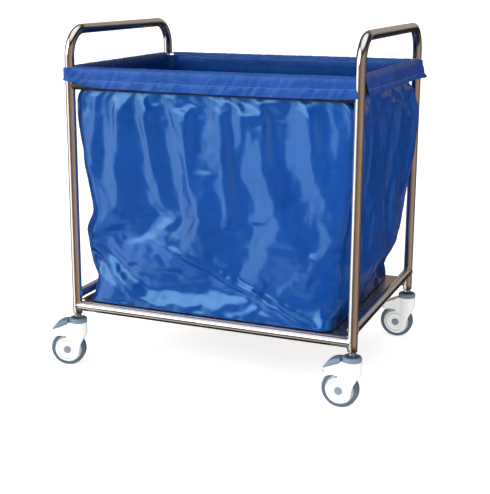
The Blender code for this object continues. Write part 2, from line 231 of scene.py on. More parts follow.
class Nodes(Tree):
    """The nodes of one material round its own shader."""

    def __init__(self, material):
        material.use_nodes = True
        super().__init__(material.node_tree)
        self.material = material
        self.shader = self.tree.nodes["Principled BSDF"]

    @classmethod
    def new(cls, name, colour, roughness, metallic=0.0):
        n = cls(bpy.data.materials.new(name))
        n.set(Base_Color=(*colour, 1), Roughness=roughness, Metallic=metallic)
        n.material.diffuse_color = (*colour, 1)
        return n

    def place(self, attribute=None, scale=(1, 1, 1)):
        """Coordinates in metres: those of a mesh attribute, or the object's own."""
        if attribute:
            source = self.add("ShaderNodeAttribute", attribute_name=attribute).outputs["Vector"]
        else:
            source = self.add("ShaderNodeTexCoord").outputs["Object"]
        mapping = self.add("ShaderNodeMapping", {"Vector": source, "Scale": scale})
        return mapping.outputs["Vector"]

    def noise(self, place, scale, detail=3.0, roughness=0.5, distortion=0.0):
        values = {"Vector": place, "Scale": scale, "Detail": detail}
        values.update({"Roughness": roughness, "Distortion": distortion})
        return self.add("ShaderNodeTexNoise", values).outputs["Fac"]

    def mix(self, factor, first, second):
        node = self.add("ShaderNodeMix", data_type="RGBA")
        self.feed(factor, node.inputs["Factor"])
        for key, colour in (("A", first), ("B", second)):
            socket = [s for s in node.inputs if s.name == key and s.type == "RGBA"][0]
            self.feed(colour if isinstance(colour, bpy.types.NodeSocket) else (*colour, 1), socket)
        return [s for s in node.outputs if s.type == "RGBA"][0]

    def bump(self, height, strength, distance, below=None):
        values = {"Height": height, "Strength": strength, "Distance": distance}
        node = self.add("ShaderNodeBump", values)
        if below is not None:
            self.feed(below, node.inputs["Normal"])
        return node.outputs["Normal"]

    def set(self, **inputs):
        """Feed the shader's own sockets. An underscore stands for a space in a socket's name."""
        for key, value in inputs.items():
            self.feed(value, self.shader.inputs[key.replace("_", " ")])
        return self.material


# ------------ materials
def steel_material(name, attribute, colour, roughness):
    """Polished stainless: long faint grain, cloudy wipe marks and a few fine scratches."""
    n = Nodes.new(name, colour, roughness, 1.0)
    grain = n.noise(n.place(attribute, (1, 1, 0.02)), 900, 2.0)
    clouds = n.noise(n.place(attribute, (1, 1, 0.35)), 45, 4.0, 0.6)
    pits = n.noise(n.place(attribute), 500, 2.0)
    darker = tuple(c * 0.86 for c in colour)
    n.set(Base_Color=n.mix(n.ramp(clouds, 0, 1, 0.35, 0.65), darker, colour))
    mixed = n.math("MULTIPLY_ADD", grain, 0.35, clouds)
    n.set(Roughness=n.ramp(mixed, roughness * 0.7, roughness * 1.6, 0.45, 0.95))
    height = n.math("MULTIPLY_ADD", pits, 0.5, grain)
    return n.set(Normal=n.bump(height, 0.05, 0.0004))


def coating_material():
    """Dark painted steel, worn a little paler in places."""
    n = Nodes.new("black_coating", (0.012, 0.01, 0.012), 0.42)
    speckle = n.noise(n.place("tube_place"), 1400, 2.0)
    wear = n.noise(n.place("tube_place"), 60, 4.0, 0.65)
    n.set(Base_Color=n.mix(n.ramp(wear, 0, 1, 0.5, 0.75), (0.01, 0.009, 0.011), (0.03, 0.026, 0.027)))
    n.set(Roughness=n.ramp(wear, 0.34, 0.55))
    return n.set(Normal=n.bump(speckle, 0.15, 0.0004))


def cloth_material(name, deep, pale, tones, smooth, matt, crumpling, ior, level, stitched=False):
    """Coated weave with slubs, creases and crumpling, and with a stitched seam on the hem."""
    n = Nodes.new(name, deep, 0.4)
    attribute = "cloth_place"
    place = n.place(attribute)
    split = n.add("ShaderNodeSeparateXYZ", {"Vector": place})
    around, height = split.outputs["X"], split.outputs["Y"]
    thread = 0.0011
    warp = n.math("SINE", n.math("MULTIPLY", around, 2 * math.pi / thread))
    weft = n.math("SINE", n.math("MULTIPLY", height, 2 * math.pi / thread))
    weave = n.math("MULTIPLY", warp, weft)
    slub = n.noise(n.place(attribute, (0.06, 1, 1)), 420, 2.0)
    crumple = n.noise(place, 55, 4.0, 0.55, 0.4)
    crease = n.noise(n.place(attribute, (1, 0.35, 1)), 17, 3.0, 0.5, 0.8)
    tone = n.math("MULTIPLY_ADD", slub, 0.5, n.noise(place, 9, 3.0))
    colour = n.mix(n.ramp(tone, 0, 1, *tones), deep, pale)
    rough = n.ramp(n.math("MULTIPLY_ADD", slub, 0.4, crumple), smooth, matt, 0.5, 0.9)
    normal = n.bump(crease, 0.13, 0.01)
    normal = n.bump(crumple, *crumpling, normal)
    threads = n.math("MULTIPLY_ADD", slub, 0.8, n.math("MULTIPLY", weave, 0.35))
    normal = n.bump(threads, 0.08, 0.0003, normal)
    if stitched:
        line = n.math("ABSOLUTE", n.math("SUBTRACT", height, HEM_SEAM_UP))
        dash = n.math("FRACT", n.math("DIVIDE", around, 0.0042))
        on_line = n.math("LESS_THAN", line, 0.00055)
        stitch = n.math("MULTIPLY", on_line, n.math("LESS_THAN", dash, 0.72))
        colour = n.mix(stitch, colour, (0.055, 0.13, 0.37))
        valley = n.ramp(line, 0, 1, 0.0, 0.0022)
        normal = n.bump(valley, 0.6, 0.0008, normal)
        normal = n.bump(stitch, 0.5, 0.0005, normal)
    n.set(Base_Color=colour, Roughness=rough, Normal=normal)
    return n.set(IOR=ior, Specular_IOR_Level=level, Specular_Tint=(0.34, 0.71, 1.0, 1))


def plastic_material(name, colour, shade, roughness, grain, depth):
    """Moulded plastic: faint grain, slight colour drift and a little dulling."""
    n = Nodes.new(name, colour, roughness)
    place = n.place()
    drift = n.noise(place, 40, 3.0)
    fine = n.noise(place, grain, 2.0)
    n.set(Base_Color=n.mix(n.ramp(drift, 0, 1, 0.35, 0.7), colour, shade))
    dulling = n.math("MULTIPLY_ADD", fine, 0.4, drift)
    n.set(Roughness=n.ramp(dulling, roughness * 0.8, roughness * 1.25, 0.5, 0.9))
    return n.set(Normal=n.bump(fine, 0.12, depth))


STEEL = steel_material("polished_steel", "tube_place", (0.79, 0.76, 0.73), 0.13)
TRAY_STEEL = steel_material("tray_steel", None, (0.5, 0.43, 0.41), 0.3)
CHROME = steel_material("chrome", None, (0.82, 0.81, 0.8), 0.09)
BLACK = coating_material()
CLOTH = cloth_material(
    "blue_cloth", (0.0006, 0.039, 0.222), (0.001, 0.048, 0.262), tones=(0.55, 0.95),
    smooth=0.17, matt=0.26, crumpling=(0.13, 0.0016), ior=1.6, level=1.0,
)
HEM = cloth_material(
    "hem_cloth", (0.003, 0.03, 0.18), (0.011, 0.052, 0.262), tones=(0.45, 0.8),
    smooth=0.3, matt=0.42, crumpling=(0.85, 0.0022), ior=1.45, level=0.6, stitched=True,
)
WHITE = plastic_material("white_plastic", (0.82, 0.85, 0.83), (0.77, 0.8, 0.78), 0.28, 700, 0.0002)
RING = plastic_material(
    "blue_grey_plastic", (0.15, 0.215, 0.3), (0.125, 0.19, 0.27), 0.42, 900, 0.0003
)
CAP = plastic_material("grey_plastic", (0.21, 0.25, 0.29), (0.18, 0.22, 0.26), 0.42, 900, 0.0003)
TREAD = plastic_material(
    "grey_tread", (0.085, 0.13, 0.18), (0.065, 0.105, 0.15), 0.62, 1100, 0.0004
)


def dish_material():
    """White plastic with a grey line painted along the pressed ring round the hub, as painted shade in
    its groove.
    """
    n = Nodes(WHITE.copy())
    n.material.name = "white_plastic_dish_groove_shade"
    split = n.add("ShaderNodeSeparateXYZ", {"Vector": n.place()})
    across, up = split.outputs["X"], split.outputs["Z"]
    square = n.math("ADD", n.math("MULTIPLY", across, across), n.math("MULTIPLY", up, up))
    away = n.math("ABSOLUTE", n.math("SUBTRACT", n.math("SQRT", square), DISH_RING_R))
    white = n.shader.inputs["Base Color"].links[0].from_socket
    # painted shade: grey colour laid along the groove of the pressed ring
    return n.set(Base_Color=n.mix(n.ramp(away, 0, 1, 0.0006, 0.002), (0.42, 0.5, 0.48), white))


DISH = dish_material()


# ------------ frame tubes
def end_path(x):
    """Post, bend, handle, bend and post, from foot to foot."""
    straight = HANDLE_Z - BEND_R
    rise = straight - POST_BOTTOM
    line = [(-POST_Y, POST_BOTTOM + rise * step / 26) for step in range(26)]
    line += arc((-POST_Y + BEND_R, straight), BEND_R, 180, 90, 16)
    line += [((POST_Y - BEND_R) * (2 * step / 14 - 1), HANDLE_Z) for step in range(1, 14)]
    line += arc((POST_Y - BEND_R, straight), BEND_R, 90, 0, 16)
    line += [(POST_Y, straight - rise * step / 26) for step in range(1, 27)]
    return [Vector((x, y, z)) for y, z in line]


def add_ring(points, straight, here, ahead, aside, size, sides, along):
    """A ring of points round a tube's line, with their places on the straightened tube."""
    up = ahead.cross(aside)
    for side in range(sides):
        turn = 2 * math.pi * side / sides
        points.append(here + (aside * math.cos(turn) + up * math.sin(turn)) * size)
        straight.append((math.cos(turn) * TUBE_R, math.sin(turn) * TUBE_R, along))


LIP_ROWS = 5


def open_tube(name, path, radius, wall, sides, hint):
    """Tube with rounded lips: its wall turns in at both ends and runs a little way back inside."""
    first = (path[0] - path[1]).normalized()
    last = (path[-1] - path[-2]).normalized()
    lip = wall * 0.5
    inset = [(0.01, radius - wall), (lip * 0.3, radius - wall)]
    inset += [(0, radius - lip), (lip * 0.3, radius - lip * 0.3)]
    line = [path[0] - first * deep for deep, _ in inset] + [path[0] - first * lip]
    sizes = [size for _, size in inset] + [radius]
    line += path[1:-1]
    sizes += [radius] * (len(path) - 2)
    line += [path[-1] - last * lip] + [path[-1] - last * deep for deep, _ in reversed(inset)]
    sizes += [radius] + [size for _, size in reversed(inset)]
    return profile_tube(name, line, sizes, path, sides, hint)


def profile_tube(name, line, sizes, path, sides, hint):
    """Tube of the given sizes along a line. tube_place holds the place on the straightened tube."""
    points, straight = [], []
    lengths = [0.0]
    for before, after in zip(line, line[1:]):
        lengths.append(lengths[-1] + (after - before).length)
    for index, here in enumerate(line):
        if index < LIP_ROWS:
            ahead = (path[1] - path[0]).normalized()
        elif index >= len(line) - LIP_ROWS:
            ahead = (path[-1] - path[-2]).normalized()
        else:
            ahead = (line[index + 1] - line[index - 1]).normalized()
        aside = (hint - ahead * hint.dot(ahead)).normalized()
        add_ring(points, straight, here, ahead, aside, sizes[index], sides, lengths[index])
    mesh = mesh_from(name, points, grid_faces(len(line), sides, True), 50)
    vector_attribute(mesh, "tube_place", straight)
    return mesh


def weld_bead(name, post, direction, radius):
    """Smooth bead where a rail meets a post of the frame."""
    along = Vector(direction)
    across = Vector((-along.y, along.x, 0))
    path = []
    steps = 40
    clear = 0.0004
    for step in range(steps):
        turn = 2 * math.pi * step / steps
        side = (radius + clear) * math.cos(turn)
        out = math.sqrt(max(TUBE_R ** 2 - side ** 2, 0.0)) + clear
        up = Vector((0, 0, (radius + clear) * math.sin(turn)))
        path.append(post + along * out + across * side + up)
    points, straight = [], []
    ring = 8
    for index, here in enumerate(path):
        ahead = (path[(index + 1) % steps] - path[index - 1]).normalized()
        swell = 0.0016 + 0.0002 * math.sin(index * 2.1)
        aside = along.cross(ahead).normalized()
        add_ring(points, straight, here, ahead, aside, swell, ring, index * 0.002)
    mesh = mesh_from(name, points, grid_faces(steps, ring, True, True), 60)
    vector_attribute(mesh, "tube_place", straight)
    return mesh


RAIL_INSET = 0.45   # start of a rail inside its post, as a share of the post's radius


def rail_path(node):
    """Centre line of a rail, run on to just inside the posts it joins."""
    low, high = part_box(node)
    centre = (low + high) / 2
    steps = 20
    if high.x - low.x > high.y - low.y:
        start, end = Vector((LEFT_X, centre.y, centre.z)), Vector((RIGHT_X, centre.y, centre.z))
    else:
        start, end = Vector((centre.x, -POST_Y, centre.z)), Vector((centre.x, POST_Y, centre.z))
    inset = (end - start).normalized() * TUBE_R * RAIL_INSET
    start, end = start + inset, end - inset
    return [start.lerp(end, step / steps) for step in range(steps + 1)]


def build_frame():
    for name, x in (("end_frame_left", LEFT_X), ("end_frame_right", RIGHT_X)):
        mesh = open_tube(name, end_path(x), TUBE_R, TUBE_WALL, 48, Vector((1, 0, 0)))
        piece = add_piece(name + "_tube", mesh, "frame", STEEL)
        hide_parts(name)
    rails = (("base_rail", STEEL, "polished_steel"), ("black_rail", BLACK, "black_coating"),
             ("hem_rail", STEEL, "polished_steel"))
    for kind, look, slot in rails:
        for side in ("front", "back", "left", "right"):
            node = f"{kind}_{side}"
            low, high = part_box(node)
            radius = (high.z - low.z) / 2
            path = rail_path(node)
            mesh = profile_tube(node, path, [radius] * len(path), path, 40, Vector((0, 0, 1)))
            piece = add_piece(node + "_tube", mesh, "frame", look)
            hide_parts(node)
            if kind != "base_rail":
                continue
            for end, direction in ((path[0], path[1] - path[0]), (path[-1], path[-2] - path[-1])):
                inside = direction.normalized()
                post = end - inside * TUBE_R * RAIL_INSET
                label = f"weld_{side}_{'a' if end is path[0] else 'b'}"
                bead = weld_bead(label, post, inside, radius)
                add_piece(label, bead, "frame", STEEL)


# ------------ bag
LONG_CELLS, SHORT_CELLS, CORNER_CELLS = 64, 48, 6
WALL_ROWS = 54
BAG_SHAPE = [  # height, half length, half width, corner radius and shift to the right
    (0.808, 0.377, 0.277, 0.034, 0), (0.799, 0.3768, 0.2768, 0.034, 0),
    (0.788, 0.3766, 0.2766, 0.034, 0), (0.776, 0.3762, 0.2762, 0.034, 0),
    (0.764, 0.3758, 0.2758, 0.034, 0), (0.752, 0.3764, 0.2764, 0.034, 0),
    (0.74, 0.383, 0.278, 0.026, 0.001), (0.72, 0.388, 0.2795, 0.022, 0.003),
    (0.695, 0.391, 0.281, 0.022, 0.005), (0.66, 0.39, 0.2825, 0.024, 0.0075),
    (0.56, 0.3795, 0.282, 0.03, 0.01),
    (0.49, 0.366, 0.279, 0.04, 0.011), (0.44, 0.36, 0.277, 0.042, 0.01),
    (0.39, 0.367, 0.277, 0.04, -0.001), (0.32, 0.36, 0.2775, 0.045, -0.002),
    (0.24, 0.346, 0.2805, 0.042, -0.01), (0.2, 0.346, 0.283, 0.038, -0.014),
    (0.1842, 0.349, 0.284, 0.034, -0.016),
]
FOLDS = [  # long ridges of the front wall: place and height at both ends, half width, rise
    (-0.315, 0.75, -0.325, 0.56, 0.016, 0.006), (-0.255, 0.755, -0.222, 0.27, 0.03, 0.013),
    (-0.185, 0.755, -0.12, 0.35, 0.024, 0.01), (-0.09, 0.755, -0.01, 0.38, 0.036, 0.013),
    (0.02, 0.755, 0.05, 0.46, 0.026, 0.009), (0.085, 0.755, 0.235, 0.33, 0.046, 0.014),
    (0.25, 0.75, 0.3, 0.44, 0.034, 0.011), (-0.06, 0.34, 0.27, 0.19, 0.03, 0.005),
    (0.32, 0.42, 0.18, 0.19, 0.034, 0.006), (-0.33, 0.33, -0.18, 0.19, 0.03, 0.005),
]
PINNED_ROWS = 6
REACH_LIMIT = 0.036   # how far a point of the cloth may end from its start
FLOOR_SHARES = (0.985, 0.965, 0.93, 0.89, 0.84, 0.78, 0.7, 0.6, 0.48, 0.34, 0.18)
HANG_STEPS = 60
HANG_SETTINGS = {
    "vertex_group_mass": "pinned", "quality": 7, "mass": 0.003, "tension_stiffness": 15,
    "compression_stiffness": 15, "shear_stiffness": 5, "bending_stiffness": 0.3, "air_damping": 2.0,
    "vertex_group_shrink": "taut", "shrink_min": -0.036, "shrink_max": -0.006,
}
SIDE_RAIL_TOP = 0.216   # below this height the cloth stays between the side rails


def outline_point(column, half_x, half_y, radius):
    """A place on the rounded outline: columns run from the front left corner to the right and round."""
    sides = (LONG_CELLS, CORNER_CELLS, SHORT_CELLS, CORNER_CELLS) * 2
    flat_x, flat_y = half_x - radius, half_y - radius
    side = 0
    while column >= sides[side]:
        column -= sides[side]
        side += 1
    share = column / sides[side]
    quarter, in_corner = divmod(side, 2)
    if in_corner:
        centre = ((flat_x, -flat_y), (flat_x, flat_y), (-flat_x, flat_y), (-flat_x, -flat_y))[quarter]
        angle = math.radians((-90, 0, 90, 180)[quarter] + 90 * share)
        return centre[0] + radius * math.cos(angle), centre[1] + radius * math.sin(angle)
    start = ((-flat_x, -half_y), (half_x, -flat_y), (flat_x, half_y), (-half_x, flat_y))[quarter]
    step = ((2 * flat_x, 0), (0, 2 * flat_y), (-2 * flat_x, 0), (0, -2 * flat_y))[quarter]
    return start[0] + step[0] * share, start[1] + step[1] * share


def bag_rows():
    """Rows of the wall from the top down: the pinned rows first, then even steps to the tray."""
    shape = np.array(BAG_SHAPE)
    free = np.linspace(shape[PINNED_ROWS - 1, 0], shape[-1, 0], WALL_ROWS)
    heights = list(shape[:PINNED_ROWS, 0]) + list(free[1:])
    order = np.argsort(shape[:, 0])
    rows = []
    for height in heights:
        sizes = [np.interp(height, shape[order, 0], shape[order, k]) for k in (1, 2, 3, 4)]
        rows.append([height] + sizes)
    return rows


def bag_start():
    """Start of the bag's cloth: wall and floor, open at the top, with its flat place on each point."""
    columns = 2 * (LONG_CELLS + SHORT_CELLS) + 4 * CORNER_CELLS
    points, flat = [], []
    rows = bag_rows()
    length = outline_length(rows[0])
    for height, half_x, half_y, radius, shift in rows:
        for column in range(columns):
            x, y = outline_point(column, half_x, half_y, radius)
            points.append((MID_X + x + shift, y, height))
            flat.append((column / columns * length, height, 0))
    low = rows[-1]
    floor_z = TRAY_TOP + 0.0016
    for share in FLOOR_SHARES:
        for column in range(columns):
            x, y = outline_point(column, low[1], low[2], low[3])
            x, y = x * (1 - (1 - share) * low[2] / low[1]), y * share
            points.append((MID_X + x + low[4] * share, y, floor_z))
            flat.append((x, y, 0))
    faces = grid_faces(len(rows) + len(FLOOR_SHARES), columns, True)
    last = (len(rows) + len(FLOOR_SHARES) - 1) * columns
    faces.append(tuple(last + column for column in reversed(range(columns))))
    return points, faces, flat, columns, len(rows)


def outline_length(row):
    _, half_x, half_y, radius, _ = row
    return 4 * (half_x - radius) + 4 * (half_y - radius) + 2 * math.pi * radius


def fold_push(x, z):
    """How far the long ridges of the front wall stand out at a place."""
    push = 0.0
    for x_top, z_top, x_low, z_low, half, high in FOLDS:
        share = (z_top - z) / (z_top - z_low)
        if -0.15 < share < 1.15:
            off = (x - x_top - (x_low - x_top) * share) / (half * (0.7 + 0.6 * share))
            push += high * math.exp(-off * off) * min(1.0, (1.15 - share) * 4, (share + 0.15) * 5)
    return push


def gathers(points, columns, rows):
    """Small pleats below the hem, long ridges and slow waves further down."""
    out = []
    for index, (x, y, z) in enumerate(points):
        row, column = divmod(index, columns)
        if row < PINNED_ROWS or row >= rows:
            out.append((x, y, z))
            continue
        fall = (z - BAG_SHAPE[-1][0]) / (BAG_SHAPE[PINNED_ROWS - 1][0] - BAG_SHAPE[-1][0])
        turn = 2 * math.pi * column / columns
        around = Vector((math.cos(turn), math.sin(turn), 0))
        pleat = noise.noise(around * 17 + Vector((3.1, 0.7, z * 1.5)))
        swept = turn + 0.22 * (1 - fall)
        swept = Vector((math.cos(swept), math.sin(swept), 0))
        wave = noise.noise(swept * 6 + Vector((9.4, 2.2, z * 3.0)))
        edge = min(1.0, (1 - fall) * 14)
        if row == rows - 1:
            tuck = 1 - 0.036 * abs(noise.noise(around * 13 + Vector((6.3, 1.1, 0))))
            out.append((MID_X + (x - MID_X) * tuck, y * tuck, z))
            continue
        push = 0.012 * pleat * math.exp((fall - 1) * 5) + 0.008 * wave
        if y < -0.2:
            push += fold_push(x - MID_X, z) - 0.004
        elif fall < 0.3:
            push += 0.006 * noise.noise(around * 9 + Vector((1.7, 5.2, z * 12)))
        push *= edge
        outward = Vector((x - MID_X, y * 1.35, 0)).normalized()
        out.append((x + outward.x * push, y + outward.y * push, z))
    return out


def hang(points, faces, columns):
    """Points of the wall after hanging between its pinned top rows and its pinned foot on the tray.

    The cloth is a little larger than its start, most of all high up, so it sags and folds.
    """
    mesh = bpy.data.meshes.new("bag_draft")
    mesh.from_pydata(points, [], faces)
    draft = draft_object("bag_draft", mesh)
    group = draft.vertex_groups.new(name="pinned")
    group.add(list(range(PINNED_ROWS * columns)), 1.0, "REPLACE")
    group.add(list(range(len(points) - columns, len(points))), 1.0, "REPLACE")
    taut = draft.vertex_groups.new(name="taut")
    for row in range(len(points) // columns):
        share = (0.46 - points[row * columns][2]) / 0.2
        taut.add(list(range(row * columns, (row + 1) * columns)), min(1.0, max(0.0, share)), "REPLACE")
    tray = bpy.data.meshes.new("tray_stop")
    low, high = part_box("base_tray")
    plan = ((low.x, low.y), (high.x, low.y), (high.x, high.y), (low.x, high.y))
    tray.from_pydata([(x, y, TRAY_TOP) for x, y in plan], [], [(0, 1, 2, 3)])
    stop = draft_object("tray_stop", tray)
    stop.modifiers.new("stop", "COLLISION")
    stop.collision.thickness_outer = 0.0015
    stop.collision.cloth_friction = 20
    cloth = draft.modifiers.new("cloth", "CLOTH")
    for setting, value in HANG_SETTINGS.items():
        setattr(cloth.settings, setting, value)
    cloth.collision_settings.distance_min = 0.0015
    cloth.collision_settings.use_self_collision = False
    cloth.point_cache.frame_start = 1
    cloth.point_cache.frame_end = HANG_STEPS
    scene = bpy.context.scene
    for step in range(1, HANG_STEPS + 1):
        scene.frame_set(step)
    hung = settle(draft)
    scene.frame_set(1)
    bpy.data.objects.remove(stop, do_unlink=True)
    place = np.zeros(len(points) * 3)
    hung.vertices.foreach_get("co", place)
    return place.reshape(-1, 3)


def keep_clear(points):
    """Hold the cloth off the posts, the side rails and the tray."""
    gap = 0.0018
    for p in points:
        x = p[0] - MID_X
        for side_x in (-SPAN_X, SPAN_X):
            for side_y in (-POST_Y, POST_Y):
                away = np.array([x - side_x, p[1] - side_y])
                distance = np.linalg.norm(away)
                if distance < TUBE_R + gap:
                    away *= (TUBE_R + gap) / max(distance, 1e-6)
                    x, p[1] = side_x + away[0], side_y + away[1]
        if p[2] < SIDE_RAIL_TOP:
            x = min(max(x, -SPAN_X + TUBE_R + gap), SPAN_X - TUBE_R - gap)
        p[0] = x + MID_X
        p[2] = max(p[2], TRAY_TOP + 0.0012)
    return points


def build_bag():
    """The bag's wall and floor as one sheet. Its wall hangs, its floor lies on the tray."""
    points, faces, flat, columns, rows = bag_start()
    start = np.array(points)
    points = gathers(points, columns, rows)
    place = np.array(points)
    free = rows * columns
    place[:free] = hang(points[:free], [face for face in faces if max(face) < free], columns)
    moved = place - start
    far = np.maximum(np.linalg.norm(moved, axis=1, keepdims=True), 1e-9)
    place = start + moved / far * REACH_LIMIT * np.tanh(far / REACH_LIMIT)
    place = keep_clear(place)
    mesh = mesh_from("bag_cloth", place, faces, 180)
    vector_attribute(mesh, "cloth_place", flat)
    draft = draft_object("bag_draft", mesh)
    subdivide(draft)
    result = finish_mesh(settle(draft), 180)
    bag = add_piece("bag_cloth", result, "frame", CLOTH)
    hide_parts("linen_bag")
    return bag


# ------------ hem
HEM_PROFILE = [  # outward from the rail's centre line, height above the lower edge of the flap
    (-0.0112, 0.03), (-0.0114, 0.04), (-0.0104, 0.049), (-0.006, 0.0562), (0.0, 0.0585),
    (0.0058, 0.0565), (0.0098, 0.051), (0.0112, 0.043), (0.0114, 0.035), (0.0113, 0.0285),
    (0.0112, 0.023), (0.0128, 0.018), (0.0132, 0.011), (0.0131, 0.005), (0.0128, 0.0),
]
INNER_POINTS = 5
HEM_STEP = 0.005
TAIL_ANGLE = math.radians(40)   # direction in which the loose corner at the back right stands out most
HEM_TOP_UP = 0.0585
HEM_LINES = [  # run from the front right post, height of the lower edge, of the seam and of the top
    (0.0, 0.7645, 0.7875, 0.8165), (0.04, 0.763, 0.786, 0.8165), (0.17, 0.7605, 0.783, 0.8158),
    (0.38, 0.76, 0.7805, 0.8152), (0.57, 0.761, 0.7812, 0.8148), (0.68, 0.763, 0.7822, 0.8152),
    (0.725, 0.769, 0.783, 0.8152), (0.765, 0.7785, 0.787, 0.8148), (0.79, 0.7785, 0.787, 0.815),
    (0.85, 0.766, 0.784, 0.8165), (1.3, 0.762, 0.782, 0.817), (1.365, 0.765, 0.784, 0.8165),
    (1.42, 0.76, 0.781, 0.8165), (2.1, 0.76, 0.781, 0.818), (2.155, 0.766, 0.779, 0.82),
    (2.2, 0.7655, 0.778, 0.8205), (2.45, 0.7655, 0.779, 0.8205), (2.7, 0.767, 0.783, 0.82),
    (2.76, 0.769, 0.785, 0.818),
]


def hem_path():
    """Plan line of the hem from the front right post round to it again: point, outward, wrap share."""
    reach_x, reach_y = SPAN_X, POST_Y
    sections = []

    def straight(start, end, outward, wrap_start, wrap_end):
        start, end = Vector(start), Vector(end)
        count = max(2, int((end - start).length / HEM_STEP))
        for index in range(count):
            share = index / count
            point = start.lerp(end, share)
            left = (end - start).length * share
            right = (end - start).length * (1 - share)
            wrap = max(wrap_start * max(0.0, 1 - left / 0.022), wrap_end * max(0.0, 1 - right / 0.022))
            sections.append((point, Vector(outward), wrap))

    def corner(centre, first, last):
        for index in range(9):
            angle = math.radians(first + (last - first) * index / 9)
            sections.append((Vector(centre), Vector((math.cos(angle), math.sin(angle))), 1.0))

    straight((reach_x - 0.013, -reach_y), (-reach_x, -reach_y), (0, -1), 0, 1)
    corner((-reach_x, -reach_y), -90, -180)
    straight((-reach_x, -reach_y), (-reach_x, reach_y), (-1, 0), 1, 1)
    corner((-reach_x, reach_y), -180, -270)
    straight((-reach_x, reach_y), (reach_x, reach_y), (0, 1), 1, 1)
    corner((reach_x, reach_y), -270, -360)
    straight((reach_x, reach_y), (reach_x, -reach_y + 0.0165), (1, 0), 1, 0)
    return sections


def hem_height(along, up):
    """Height of a hem point: the flap below the seam and the casing above it are scaled apart."""
    runs = [line[0] for line in HEM_LINES]
    low, seam, top = (np.interp(along, runs, [line[k] for line in HEM_LINES]) for k in (1, 2, 3))
    if up < HEM_SEAM_UP:
        return low + (seam - low) * up / HEM_SEAM_UP
    return seam + (top - seam) * (up - HEM_SEAM_UP) / (HEM_TOP_UP - HEM_SEAM_UP)


def build_hem():
    """The hem: a strip over the rails and round three posts, open at the front right post."""
    sections = hem_path()
    rows = len(sections)
    points, flat = [], []
    along = 0.0
    before = None
    for index, (centre, outward, wrap) in enumerate(sections):
        here = centre + outward * 0.012
        if before is not None:
            along += (here - before).length
        before = here
        left = (rows - 1 - index) * HEM_STEP
        tail = 0
        if centre.x > 0 and centre.y > 0 and outward.x * outward.y > 0.01:
            tail = 1 - abs(math.atan2(outward.y, outward.x) - TAIL_ANGLE) / TAIL_ANGLE
        for column, (out, up) in enumerate(HEM_PROFILE):
            low = 1 - min(up / 0.03, 1)
            slant = along + up * 0.6
            ripple = noise.noise(Vector((slant * 85, up * 30, 4.7)))
            slow = noise.noise(Vector((slant * 22, up * 14, 1.3)))
            push = (0.0019 * ripple * (0.7 + low) + 0.0026 * slow * (0.4 + low)) * (1 + wrap)
            lift = 0.001 * ripple + 0.0022 * low * noise.noise(Vector((along * 13, 0, 8.1)))
            high = hem_height(along, up)
            if column < INNER_POINTS:
                tucked = 0.0136 + 0.0004 * column
                out = out * (1 - wrap) + tucked * wrap
                high = high * (1 - wrap) + (hem_height(along, 0.05) - 0.001 * column) * wrap
                push *= 0.4
            else:
                out += wrap * max(0.0, 0.0148 - out) + wrap * 0.0016
                out += 0.013 * max(tail, 0.0) * max(0.0, 1 - abs(up - 0.012) / 0.04)
            out += max(push, -0.0012) if wrap > 0.5 else push
            place = centre + outward * out
            if index in (0, rows - 1):
                gap = math.sqrt(max(TUBE_R ** 2 - out ** 2, 0.0)) + 0.0007
                place = Vector((place.x, gap - POST_Y) if index else (SPAN_X - gap, place.y))
            back = 0.036 * max(0.0, 1 - up / 0.05) * max(0.0, 1 - left / 0.06)
            points.append((MID_X + place.x, place.y + back, high + lift))
            flat.append((along, up, 0))
    mesh = mesh_from("bag_hem", points, grid_faces(rows, len(HEM_PROFILE), False), 180)
    vector_attribute(mesh, "cloth_place", flat)
    draft = draft_object("hem_draft", mesh)
    subdivide(draft)
    thick = draft.modifiers.new("thickness", "SOLIDIFY")
    thick.thickness = 0.0011
    thick.offset = 0
    result = finish_mesh(settle(draft), 60)
    return add_piece("bag_hem", result, "frame", HEM)


# ------------ casters
def prism(name, corners, rise):
    """Solid between a flat outline and the same outline moved by rise."""
    shape = bmesh.new()
    face = shape.faces.new([shape.verts.new(corner) for corner in corners])
    made = bmesh.ops.extrude_face_region(shape, geom=[face])
    moved = [g for g in made["geom"] if isinstance(g, bmesh.types.BMVert)]
    bmesh.ops.translate(shape, verts=moved, vec=rise)
    bmesh.ops.recalc_face_normals(shape, faces=shape.faces)
    mesh = bpy.data.meshes.new(name)
    shape.to_mesh(mesh)
    shape.free()
    return mesh


def side_solid(name, outline, half_width):
    """Solid seen from the side: an (x, z) outline given a width along Y."""
    return prism(name, [(x, -half_width, z) for x, z in outline], (0, 2 * half_width, 0))


def plan_solid(half_width, neck, tip_x, reach):
    """Solid seen from above: round neck, level sides and a rounded tip."""
    meet = math.degrees(math.asin(half_width / neck))
    outline = arc((0, 0), neck, meet - 180, 180 - meet, 48)
    for step in range(25):
        angle = math.radians(90 + 180 * step / 24)
        outline.append((tip_x + (reach + tip_x) * math.cos(angle), half_width * math.sin(angle)))
    return prism("plan", [(x, y, 0.0) for x, y in outline], (0, 0, 0.2))


def cylinder_mesh(radius, length, axis, place, sides=48):
    turn = Matrix.Rotation(math.radians(90), 4, "X") if axis == "Y" else Matrix.Identity(4)
    shape = bmesh.new()
    bmesh.ops.create_cone(
        shape, cap_ends=True, segments=sides, radius1=radius, radius2=radius, depth=length,
        matrix=Matrix.Translation(place) @ turn,
    )
    mesh = bpy.data.meshes.new("cutter")
    shape.to_mesh(mesh)
    shape.free()
    return mesh


